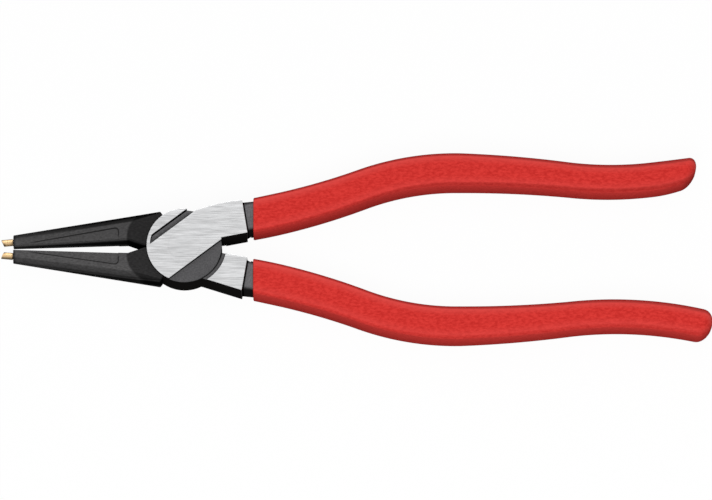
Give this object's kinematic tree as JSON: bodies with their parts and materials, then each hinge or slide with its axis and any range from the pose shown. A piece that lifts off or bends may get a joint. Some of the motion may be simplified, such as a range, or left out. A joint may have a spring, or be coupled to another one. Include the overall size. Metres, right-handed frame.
{
  "type": "circlip pliers",
  "caption": "Straight-nose pliers for circlips in bores: crossed steel levers on a riveted lap joint, round-backed jaws with slim tip pins, bowed handles in dipped plastic sleeves.",
  "frame": {"origin": "on the pivot axis, on the ground back face of the joint", "axes": "+X from the joint to the grips, +Y across the levers to the front lever's handle, +Z through the joint to its front face"},
  "size_m": [0.225, 0.0608, 0.012],
  "materials": {
    "steel": "black phosphated forging, ground bright on the joint faces",
    "rivet": "ground flush with the joint",
    "grip": "dipped red plastic, fine matte grain",
    "tip": "gold coloured coating on spring steel"
  },
  "bodies": {
    "rear_half": {"rear_lever": "steel", "pivot_rivet": "rivet", "rear_grip": "grip", "rear_tip": "tip"},
    "front_half": {"front_lever": "steel", "front_grip": "grip", "front_tip": "tip"}
  },
  "joints": [
    {"name": "jaw_pivot", "type": "hinge", "parent": "rear_half", "child": "front_half", "pos_m": [0, 0, 0.006], "axis": [0, 0, 1], "range_deg": [0, 45]}
  ]
}
